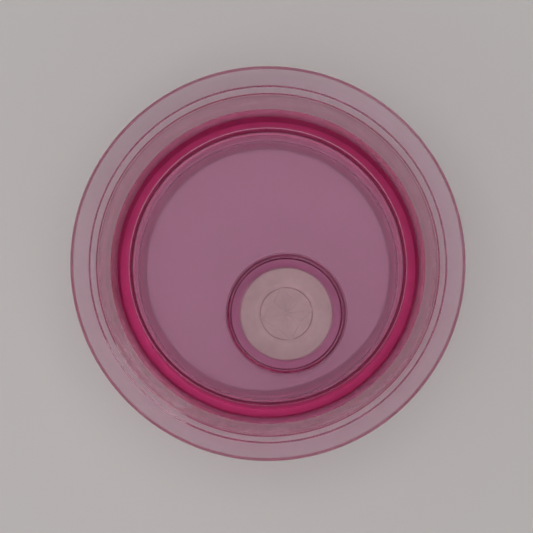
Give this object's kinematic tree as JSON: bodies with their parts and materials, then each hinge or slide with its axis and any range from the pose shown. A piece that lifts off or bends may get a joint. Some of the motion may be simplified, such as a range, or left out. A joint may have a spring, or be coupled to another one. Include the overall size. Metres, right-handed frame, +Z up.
{
  "type": "dappen dish",
  "caption": "Spill-proof dappen dish: flared tinted plastic dish over a closed reservoir, with an off-centre slit silicone valve for the brush.",
  "frame": {"origin": "centre of the underside of the foot ring, on the dish's axis", "axes": "+Z up along the dish's axis; -Y from the dish's axis towards the brush valve; +X to the right seen with the valve nearest"},
  "size_m": [0.07, 0.07, 0.038],
  "materials": {
    "tinted_plastic": "polished, transparent rose tint",
    "valve_silicone": "satin, warm white",
    "foot_silicone": "satin, pale rose",
    "seal_silicone": "satin, wine red"
  },
  "bodies": {
    "vessel": {"vessel": "tinted_plastic", "foot_ring": "foot_silicone"},
    "cover": {"cover_plate": "tinted_plastic", "cover_seal": "seal_silicone"},
    "valve": {"valve_seat": "tinted_plastic", "valve_collar": "valve_silicone"},
    "petal_1": {"valve_petal_1": "valve_silicone"},
    "petal_2": {"valve_petal_2": "valve_silicone"},
    "petal_3": {"valve_petal_3": "valve_silicone"},
    "petal_4": {"valve_petal_4": "valve_silicone"}
  },
  "joints": [
    {"name": "cover_lift", "type": "slide", "parent": "vessel", "child": "cover", "axis": [0, 0, 1], "range_m": [0, 0.03]},
    {"name": "valve_lift", "type": "slide", "parent": "cover", "child": "valve", "axis": [0, 0, 1], "range_m": [0, 0.02]},
    {"name": "petal_1_flex", "type": "hinge", "parent": "valve", "child": "petal_1", "pos_m": [0.0025, -0.00777, 0.0152], "axis": [0.5446, -0.8387, 0], "range_deg": [-35, 65], "stiffness_Nm_per_rad": 0.0001},
    {"name": "petal_2_flex", "type": "hinge", "parent": "valve", "child": "petal_2", "pos_m": [-0.00163, -0.0069, 0.0152], "axis": [0.8387, 0.5446, 0], "range_deg": [-35, 65], "stiffness_Nm_per_rad": 0.0001},
    {"name": "petal_3_flex", "type": "hinge", "parent": "valve", "child": "petal_3", "pos_m": [-0.0025, -0.01103, 0.0152], "axis": [-0.5446, 0.8387, 0], "range_deg": [-35, 65], "stiffness_Nm_per_rad": 0.0001},
    {"name": "petal_4_flex", "type": "hinge", "parent": "valve", "child": "petal_4", "pos_m": [0.00163, -0.0119, 0.0152], "axis": [-0.8387, -0.5446, 0], "range_deg": [-35, 65], "stiffness_Nm_per_rad": 0.0001}
  ],
  "couplings": [
    {"joint": "petal_2_flex", "follows": "petal_1_flex", "ratio": 1},
    {"joint": "petal_3_flex", "follows": "petal_1_flex", "ratio": 1},
    {"joint": "petal_4_flex", "follows": "petal_1_flex", "ratio": 1}
  ]
}
